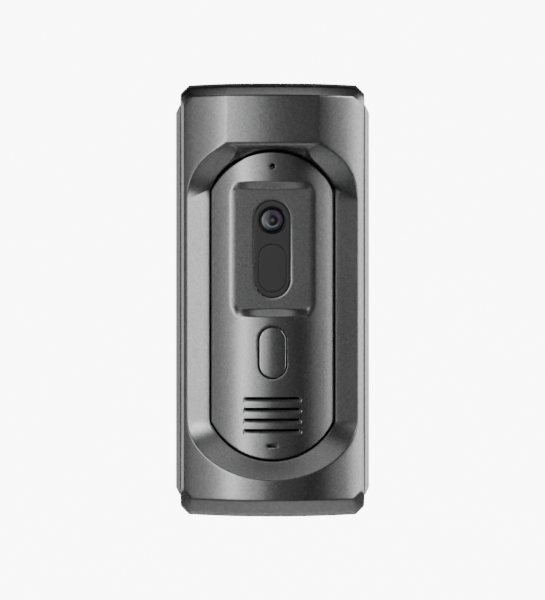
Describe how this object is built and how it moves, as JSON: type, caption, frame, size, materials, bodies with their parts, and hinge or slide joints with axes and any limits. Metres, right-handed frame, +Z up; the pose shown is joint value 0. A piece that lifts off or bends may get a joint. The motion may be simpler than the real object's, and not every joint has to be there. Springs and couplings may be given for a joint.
{
  "type": "video doorbell",
  "caption": "Slim metal video door station: rounded shell with a sunken ring, pill-shaped panel with camera, night-light window, call button and sound slots, on a wall bracket.",
  "frame": {"origin": "centre of the wall bracket's back face, which lies flat on the wall", "axes": "+Z up, +Y into the wall, so the front looks along -Y; +X is the viewer's right"},
  "size_m": [0.0676, 0.038, 0.15],
  "materials": {
    "gunmetal": "satin metallic grey, fine sparkle grain",
    "smoked_window": "smoked, matt front",
    "black_metal": "satin black",
    "lens_glass": "coated glass",
    "rubber": "matt",
    "dark_plastic": "moulded",
    "circuit_board": "solder mask",
    "steel": "plated",
    "zinc_plate": "zinc plated",
    "green_plastic": "moulded",
    "blue_plastic": "moulded",
    "lamp": "clear epoxy",
    "cone": "pressed film",
    "membrane": "film"
  },
  "bodies": {
    "unit": {"front_shell": "gunmetal", "front_panel": "gunmetal", "rear_housing": "gunmetal", "camera_window": "smoked_window", "ir_window": "smoked_window", "image_sensor": "smoked_window", "lens_bezel": "black_metal", "lens_barrel": "black_metal", "speaker_basket": "black_metal", "lens_glass": "lens_glass", "panel_gasket": "rubber", "housing_gasket": "rubber", "button_seal": "rubber", "speaker_gasket": "rubber", "microphone_boot": "rubber", "cable_grommet": "rubber", "lens_holder": "dark_plastic", "switch_body": "dark_plastic", "tamper_switch": "dark_plastic", "main_board": "circuit_board", "front_board": "circuit_board", "shield_can": "steel", "microphone": "steel", "security_screw": "steel", "panel_screw_1": "steel", "panel_screw_2": "steel", "panel_screw_3": "steel", "panel_screw_4": "steel", "housing_screw_1": "steel", "housing_screw_2": "steel", "housing_screw_3": "steel", "housing_screw_4": "steel", "main_board_screw_1": "steel", "main_board_screw_2": "steel", "main_board_screw_3": "steel", "main_board_screw_4": "steel", "front_board_screw_1": "steel", "front_board_screw_2": "steel", "front_board_screw_3": "steel", "front_board_screw_4": "steel", "wall_bracket": "zinc_plate", "speaker_magnet": "zinc_plate", "capacitor": "zinc_plate", "terminal_block": "green_plastic", "lock_relay": "blue_plastic", "ir_led_upper": "lamp", "ir_led_lower": "lamp", "light_sensor": "lamp", "vent_membrane": "membrane", "board_ribbon": "membrane"},
    "button": {"call_button": "gunmetal"},
    "key_stem": {"switch_plunger": "dark_plastic"},
    "tamper_feeler": {"tamper_plunger": "dark_plastic"},
    "diaphragm": {"speaker_cone": "cone"}
  },
  "joints": [
    {"name": "button_press", "type": "slide", "parent": "unit", "child": "button", "axis": [0, 1, 0], "range_m": [0, 0.0008], "stiffness_N_per_m": 3000},
    {"name": "key_press", "type": "slide", "parent": "unit", "child": "key_stem", "axis": [0, 1, 0], "range_m": [0, 0.0008]},
    {"name": "tamper_reach", "type": "slide", "parent": "unit", "child": "tamper_feeler", "axis": [0, 1, 0], "range_m": [0, 0.0015], "stiffness_N_per_m": 200},
    {"name": "cone_stroke", "type": "slide", "parent": "unit", "child": "diaphragm", "axis": [0, -1, 0], "range_m": [-0.0003, 0.0003], "stiffness_N_per_m": 1200}
  ],
  "couplings": [
    {"joint": "key_press", "follows": "button_press", "ratio": 1}
  ]
}
